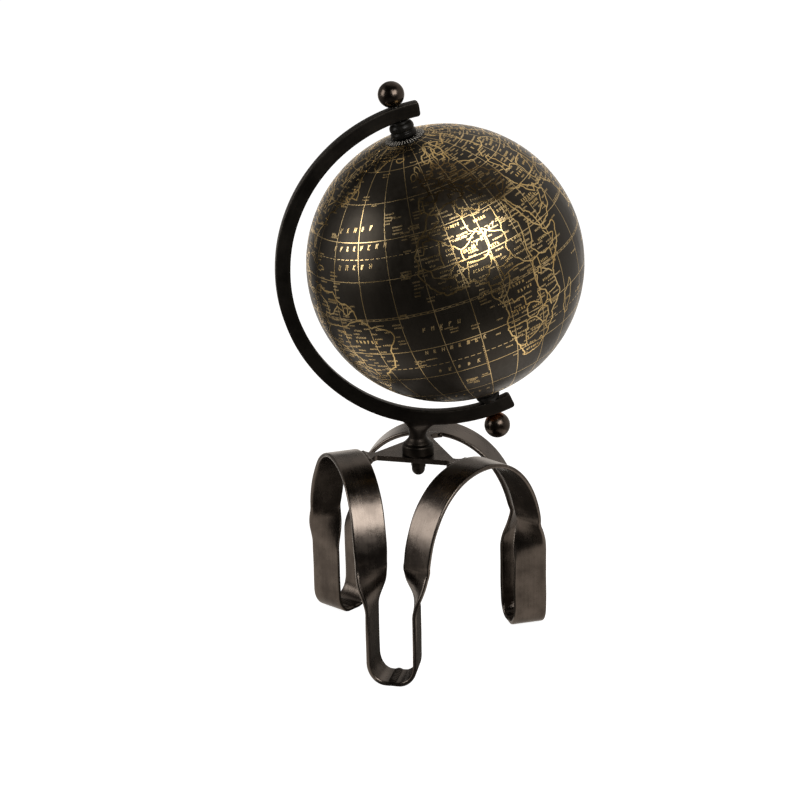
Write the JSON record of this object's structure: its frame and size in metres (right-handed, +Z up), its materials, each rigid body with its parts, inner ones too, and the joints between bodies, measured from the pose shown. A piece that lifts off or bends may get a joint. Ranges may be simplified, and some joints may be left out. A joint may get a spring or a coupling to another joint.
{
  "type": "desktop globe on stand",
  "caption": "Desktop globe spinning on a tilted axle between the ends of a C-shaped meridian arc, on a turned stem and a base of arched twisted metal straps.",
  "frame": {"origin": "middle of the bounding box in plan, on the surface that the three feet stand on", "axes": "+Z up; +X from the meridian arc towards the globe's overhanging side, in the plane of the arc; +Y completes a right-handed frame and is square to the arc's flat faces"},
  "size_m": [0.223, 0.2, 0.4308],
  "materials": {
    "bronzed_strap": "satin bronze-brown patina",
    "charcoal_bar": "satin charcoal",
    "turned_bronze": "turned, semi-gloss dark bronze",
    "polished_ball": "gloss dark bronze",
    "plain_steel": "plain",
    "weld": "ground weld under the same patina",
    "globe_shell": "satin black with gold printed map lines",
    "black_plastic": "semi-gloss black",
    "nylon": "plain"
  },
  "bodies": {
    "stand": {"north_spacer": "black_plastic", "south_spacer": "black_plastic", "north_ball_nut": "polished_ball", "south_ball_nut": "polished_ball", "axle_rod": "plain_steel", "meridian_arc": "charcoal_bar", "stem": "turned_bronze", "stem_flange": "turned_bronze", "leg_strap_rear": "bronzed_strap", "leg_strap_left": "bronzed_strap", "leg_strap_right": "bronzed_strap", "foot_weld_rear": "weld", "foot_weld_front": "weld", "foot_weld_right": "weld", "base_plate": "bronzed_strap", "corner_weld_rear": "weld", "corner_weld_left": "weld", "corner_weld_right": "weld", "washer": "plain_steel", "dome_nut": "turned_bronze", "centre_stud": "plain_steel"},
    "globe": {"globe_north_shell": "globe_shell", "globe_south_shell": "globe_shell", "equator_joiner_ring": "nylon", "north_pole_bush": "nylon", "south_pole_bush": "nylon", "hour_dial": "black_plastic"}
  },
  "joints": [
    {"name": "globe_spin", "type": "hinge", "parent": "stand", "child": "globe", "pos_m": [0.01157, 0, 0.2939], "axis": [-0.2773, 0, 0.9608], "continuous": true}
  ]
}
